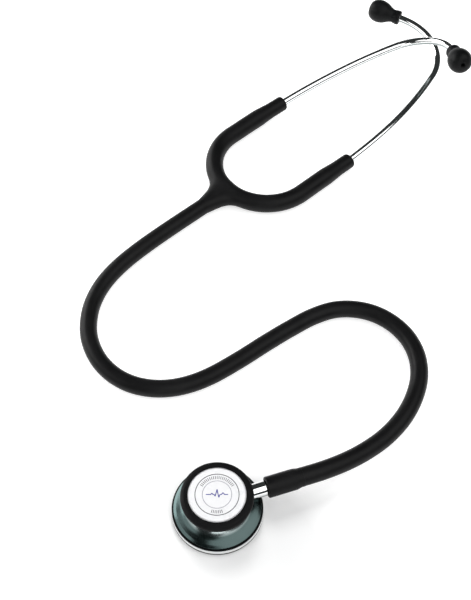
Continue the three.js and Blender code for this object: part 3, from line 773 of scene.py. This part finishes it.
# ---------- ear tubes and tips ----------
def ear_tube_line(side):
    """Centreline of one ear tube in the row's frame, from inside its arm to its end, with its tangents."""
    turn = JOINTS[side + "_ear_tube_turn"]
    sizes = EAR_TUBES[side]
    heading = Vector(turn["axis"]).normalized()
    outward = Vector(JOINTS[side + "_ear_tip_pull"]["axis"]).normalized()
    whole = sum(length / radius for length, radius in sizes["bends"])
    across = ((outward - math.cos(whole) * heading) / math.sin(whole)).normalized()
    at = Vector(turn["pos_m"]) - EAR_TUBE_SEAT * heading
    points, headings, angle = [], [], 0.0

    def run(length, bend, count):
        nonlocal at, angle
        for _ in range(count):
            halfway = angle + bend / count / 2
            direction = math.cos(halfway) * heading + math.sin(halfway) * across
            at = at + direction * length / count
            angle += bend / count
            points.append(at.copy())
            headings.append(math.cos(angle) * heading + math.sin(angle) * across)

    points.append(at.copy())
    headings.append(heading.copy())
    run(EAR_TUBE_SEAT, 0, 6)
    for length, radius in sizes["bends"]:
        run(length * MM, length / radius, max(16, round(length / radius * 30)))
    run(sizes["end"] * MM - TUBE_END_IN_TIP, 0, 6)
    return np.array(points), np.array(headings)


def make_ear_tube(side):
    """One chromed tube with a turned-in end; returns the middle of its tip and the way the tip points."""
    points, headings = ear_tube_line(side)
    radii = [EAR_TUBE_RADIUS] * len(points)
    end, forward = points[-1], headings[-1]
    lip = [(0.12 * MM, EAR_TUBE_RADIUS - 0.12 * MM), (0.15 * MM, EAR_TUBE_RADIUS - 0.3 * MM),
           (0.08 * MM, EAR_TUBE_BORE + 0.05 * MM), (-0.2 * MM, EAR_TUBE_BORE), (-14 * MM, EAR_TUBE_BORE)]
    for step, radius in lip:
        points = np.vstack([points, end + forward * step])
        headings = np.vstack([headings, forward])
        radii.append(radius)
    tube = swept(side + "_ear_tube_metal", points, radii, 40, "chrome", tangents=headings)
    finish_piece(tube, side + "_ear_tube", "polished_chrome", side + "_ear_tube")
    return end + forward * TUBE_END_IN_TIP, forward


def make_ear_tip(side, bulb, outward):
    """A mushroom bulb on a flared neck, turned about the way it points, hollow for its core."""
    bulb_points = [(4.86, -14.4), (4.9, -13.2), (4.62, -11.6), (4.45, -10.3), (4.85, -8.7), (5.75, -6.8),
                   (6.9, -4.5), (7.6, -1.9), (7.75, 0.4), (7.35, 2.9), (6.2, 5.2), (4.4, 6.75), (2.4, 7.4)]
    outer = smooth_line([(r * MM, z * MM, 0) for r, z in bulb_points], 0.35 * MM)
    outline = [(p[0], p[1]) for p in outer]
    hollow = rounded([(2.4, 7.4), (1.7, 7.45, 0.3), (1.25, 7.0, 0.3), (1.25, -1.4), (2.7, -1.5),
                      (2.7, -2.3), (4.2, -2.3), (4.2, -8.3), (2.7, -8.3), (2.7, -15.1, 0.1),
                      (3.0, -15.4, 0.2), (4.5, -15.3, 0.4), (4.86, -14.4)])
    place = Matrix.Translation(bulb) @ Vector(outward).to_track_quat("Z", "Y").to_matrix().to_4x4()
    tip = lathe(side + "_ear_tip_rubber", outline + hollow[1:-1], "tip", place=place, segments=96,
                closed=True)
    finish_piece(tip, side + "_ear_tip", "soft_black_rubber", side + "_ear_tip")


# ---------- yoke ----------
YOKE_LINE_STEP = 1.0 * MM
PAST_MOUTH = 6                          # steps that each line runs on beyond its arm's mouth
CUT_ANGLE = math.radians(33)            # where each arm's skin meets the centre's


def yoke_arm_line(side):
    """Centreline of half the yoke in the headset's frame: round the U, along the arm, past its mouth."""
    sign = 1 if side == "left" else -1
    turn = JOINTS[side + "_ear_tube_turn"]
    to_headset = HEADSET.inverted()
    mouth = to_headset @ Vector(turn["pos_m"])
    heading = (to_headset.to_3x3() @ Vector(turn["axis"])).normalized()
    bend = [(BEND_CENTRE - BEND_RADIUS * math.cos(a), sign * BEND_RADIUS * math.sin(a), 0)
            for a in np.radians(np.arange(0, 91, 3))]
    arm = [tuple(c * MM for c in point) for point in EAR_TUBES[side]["arm"]]
    beyond = mouth + PAST_MOUTH * YOKE_LINE_STEP * (mouth - Vector(arm[-1])).normalized()
    line = smooth_line([*bend[:-3:2], *bend[-3:], *arm, tuple(mouth), tuple(beyond)], YOKE_LINE_STEP)
    return line, np.array(mouth), np.array(heading)


class YokeForm:
    """The yoke's outer surface as a signed distance: a round U, its arms, and a stub with a web."""

    FILLET = 11.0 * MM          # blend between the stub and the U
    LIP = 1.6 * MM              # rounding of each arm's mouth
    MOUTH_TAPER = [11 * MM, ARM_SOCKET + 1 * MM]    # the taper's ends, back from the mouth
    MOUTH_REACH = 30 * MM       # how near its mouth an arm tapers and is cut
    SWELL = 1.5 * MM            # how much wider the stub's foot is than the tube
    SWELL_FROM = -14 * MM       # where the swelling starts, along the headset's axis
    SWELL_LENGTH = 10 * MM

    def __init__(self):
        self.arms = [yoke_arm_line(side) for side in ("left", "right")]
        to_headset = HEADSET.inverted()
        start, after = (to_headset @ Vector(TUBE_ROUTE[i]) for i in (0, 1))
        self.stub_end = np.array(start + (after - start).normalized() * 1.2 * MM)
        self.stub_foot = np.array((-1.5 * MM, 0, 0))

    @staticmethod
    def nearest(p, line):
        """Distance in plan and height above the line, for each row of p."""
        best = np.full(len(p), np.inf)
        height = np.zeros(len(p))
        for i in range(len(line) - 1):
            a, b = line[i], line[i + 1]
            ab = (b - a)[:2]
            t = np.clip(((p[:, :2] - a[:2]) @ ab) / (ab @ ab), 0, 1)
            distance = np.linalg.norm(p[:, :2] - (a[:2] + t[:, None] * ab), axis=1)
            better = distance < best
            best[better] = distance[better]
            height[better] = (p[:, 2] - (a[2] + t * (b[2] - a[2])))[better]
        return best, height

    def limb(self, p, arm):
        """Distance in plan, height, radius and distance past the mouth, from one half of the yoke."""
        line, mouth, heading = arm
        plan, height = self.nearest(p, line)
        before = -(p - mouth) @ heading
        radius = np.interp(before, self.MOUTH_TAPER, [ARM_MOUTH_RADIUS, YOKE_RADIUS])
        near = np.linalg.norm(p[:, :2] - mouth[:2], axis=1) < self.MOUTH_REACH
        cut = np.where(near, -before, -1.0)
        return plan, height, np.where(near, radius, YOKE_RADIUS), cut

    def __call__(self, p):
        limbs = [self.limb(p, arm) for arm in self.arms]
        first = limbs[0][0] < limbs[1][0]
        plan, height, radius, cut = (np.where(first, a, b) for a, b in zip(*limbs))
        stub, stub_height = self.nearest(p, np.array([self.stub_end, self.stub_foot]))
        spread = np.clip((p[:, 0] - self.SWELL_FROM) / self.SWELL_LENGTH, 0, 1)
        stub_radius = TUBE_RADIUS + self.SWELL * spread * spread * (3 - 2 * spread)
        a, b = plan - radius, stub - stub_radius
        h = np.maximum(self.FILLET - np.abs(a - b), 0) / self.FILLET
        outline = np.minimum(a, b) - h * h * self.FILLET / 4
        share = np.clip((b - a) / self.FILLET * 0.5 + 0.5, 0, 1)
        share = share * share * (3 - 2 * share)
        thick = share * radius + (1 - share) * TUBE_RADIUS
        level = share * height + (1 - share) * stub_height
        body = np.hypot(np.maximum(outline + thick, 0), level) - thick
        h = np.maximum(self.LIP - np.abs(body - cut), 0) / self.LIP
        return np.maximum(body, cut) + h * h * self.LIP / 4

    def gradient(self, p):
        """The slope of the distance at each row of p."""
        step = 0.02 * MM
        return np.stack([(self(p + d) - self(p - d)) / (2 * step) for d in np.eye(3) * step], axis=1)


def rough_yoke(form):
    """Overlapping bars and a plate, remeshed into one skin near the yoke's surface."""
    left, right = (arm[0][:-PAST_MOUTH] for arm in form.arms)
    line = np.vstack([left[::-1], right[1:]])
    stub = spaced(np.array([form.stub_end, form.stub_foot]), 2 * MM)
    bars = [swept("rough_u", line, [YOKE_RADIUS * 0.97] * len(line), 20, "vinyl"),
            swept("rough_stub", stub, [TUBE_RADIUS * 0.97] * len(stub), 20, "vinyl")]
    outline = [(-4, 4.6), (2, 8), (7, 15), (11, 15), (11, -15), (7, -15), (2, -8), (-4, -4.6)]
    count = len(outline)
    plate = [(x * MM, y * MM, z * MM) for z in (-4.2, 4.2) for x, y in outline]
    faces = [tuple(range(count)), tuple(reversed(range(count, 2 * count)))]
    faces += [(i, i + count, (i + 1) % count + count, (i + 1) % count) for i in range(count)]
    bars.append(piece("rough_web", plate, faces, "vinyl"))
    return joined_skin(bars)


def joined_skin(bars):
    """One closed mesh round all the bars, which are used up."""
    whole = bmesh.new()
    for bar in bars:
        whole.from_mesh(bar.data)
        bpy.data.objects.remove(bar)
    mesh = bpy.data.meshes.new("yoke_rough")
    whole.to_mesh(mesh)
    whole.free()
    made = bpy.data.objects.new("yoke_rough", mesh)
    bpy.context.scene.collection.objects.link(made)
    remesh = made.modifiers.new("remesh", "REMESH")
    remesh.mode = "VOXEL"
    remesh.voxel_size = 0.75 * MM
    graph = bpy.context.evaluated_depsgraph_get()
    skin = bpy.data.meshes.new_from_object(made.evaluated_get(graph))
    bpy.data.objects.remove(made)
    return skin


def settle(skin, form):
    """Moves the skin's points onto the form's surface."""
    points = np.zeros(len(skin.vertices) * 3)
    skin.vertices.foreach_get("co", points)
    points = points.reshape(-1, 3)
    for _ in range(8):
        slope = form.gradient(points)
        fall = form(points) / np.maximum((slope ** 2).sum(axis=1), 0.05)
        points = points - np.clip(fall, -1.0 * MM, 1.0 * MM)[:, None] * slope
    skin.vertices.foreach_set("co", points.ravel())


def make_yoke():
    """The yoke's centre and two arms, cut from one skin."""
    form = YokeForm()
    skin = rough_yoke(form)
    settle(skin, form)
    cuts = {side: cut_plane(side) for side in ("left", "right")}
    between = [(at, along, False) for at, along in cuts.values()]
    centre = yoke_piece("yoke_centre_skin", skin, between, form)
    finish_piece(centre, "tubing", "black_vinyl", "yoke_centre")
    for side, (at, along) in cuts.items():
        sign = 1 if side == "left" else -1
        own_side = (Vector((0, 0, 0)), Vector((0, sign, 0)), True)
        limb = yoke_piece(side + "_arm_skin", skin, [(at, along, True), own_side], form)
        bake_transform(limb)
        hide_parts(side + "_yoke_arm")


def way_round_u(angle, sign):
    """The direction along the U at an angle from its foot, in the headset's frame."""
    return Vector((math.sin(angle), sign * math.cos(angle), 0))


def cut_plane(side):
    """Where an arm's skin begins: a point on the U and the way along it there, in the headset's frame."""
    sign = 1 if side == "left" else -1
    across = sign * BEND_RADIUS * math.sin(CUT_ANGLE)
    at = Vector((BEND_CENTRE - BEND_RADIUS * math.cos(CUT_ANGLE), across, 0))
    return at, way_round_u(CUT_ANGLE, sign)


def yoke_piece(name, skin, planes, form):
    """The part of the skin beyond (or before) each plane, capped, with the true surface's normals."""
    work = bmesh.new()
    work.from_mesh(skin)
    for at, along, keep_beyond in planes:
        geometry = work.verts[:] + work.edges[:] + work.faces[:]
        bmesh.ops.bisect_plane(work, geom=geometry, plane_co=at, plane_no=along, dist=1e-7,
                               clear_inner=keep_beyond, clear_outer=not keep_beyond)
    open_edges = [e for e in work.edges if e.is_boundary]
    caps = bmesh.ops.holes_fill(work, edges=open_edges, sides=0)["faces"]
    bmesh.ops.recalc_face_normals(work, faces=work.faces)
    work.faces.index_update()
    cap_marks = {f.index for f in caps}
    mesh = bpy.data.meshes.new(name)
    work.to_mesh(mesh)
    work.free()
    normals = true_normals(mesh, form, cap_marks)
    mesh.shade_smooth()
    mesh.materials.append(MATERIALS["vinyl"])
    turn = HEADSET.to_3x3()
    mesh.transform(HEADSET)
    mesh.normals_split_custom_set([tuple(turn @ Vector(n)) for n in normals])
    made = bpy.data.objects.new(name, mesh)
    bpy.context.scene.collection.objects.link(made)
    return made


def true_normals(mesh, form, cap_marks):
    """The form's own normal at every corner, and the face's on the caps."""
    points = np.zeros(len(mesh.vertices) * 3)
    mesh.vertices.foreach_get("co", points)
    slope = form.gradient(points.reshape(-1, 3))
    slope /= np.linalg.norm(slope, axis=1)[:, None]
    normals = np.zeros((len(mesh.loops), 3))
    for polygon in mesh.polygons:
        for loop in polygon.loop_indices:
            smooth = polygon.index not in cap_marks
            normals[loop] = slope[mesh.loops[loop].vertex_index] if smooth else polygon.normal
    return normals


# ---------- CAD nodes that stay ----------
KEPT_NODES = {
    "stem_o_ring_inner": "rubber", "stem_o_ring_outer": "rubber", "detent_ball": "steel",
    "detent_spring": "steel", "detent_screw": "steel", "leaf_spring": "steel",
    "left_ear_tip_core": "nylon", "right_ear_tip_core": "nylon",
}


def dress_kept_nodes():
    """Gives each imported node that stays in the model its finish."""
    for name, material in KEPT_NODES.items():
        node = frame["nodes"][name]
        node.data.materials.clear()
        node.data.materials.append(MATERIALS[material])


make_camera()
make_main_tube()
make_chestpiece_shell()
make_retaining_ring()
make_large_diaphragm()
make_small_diaphragm()
make_non_chill_ring()
make_printing()
make_stem()
make_cuff()
for ear in ("left", "right"):
    make_ear_tip(ear, *make_ear_tube(ear))
make_yoke()
dress_kept_nodes()
make_floor(table_white())
make_lights()
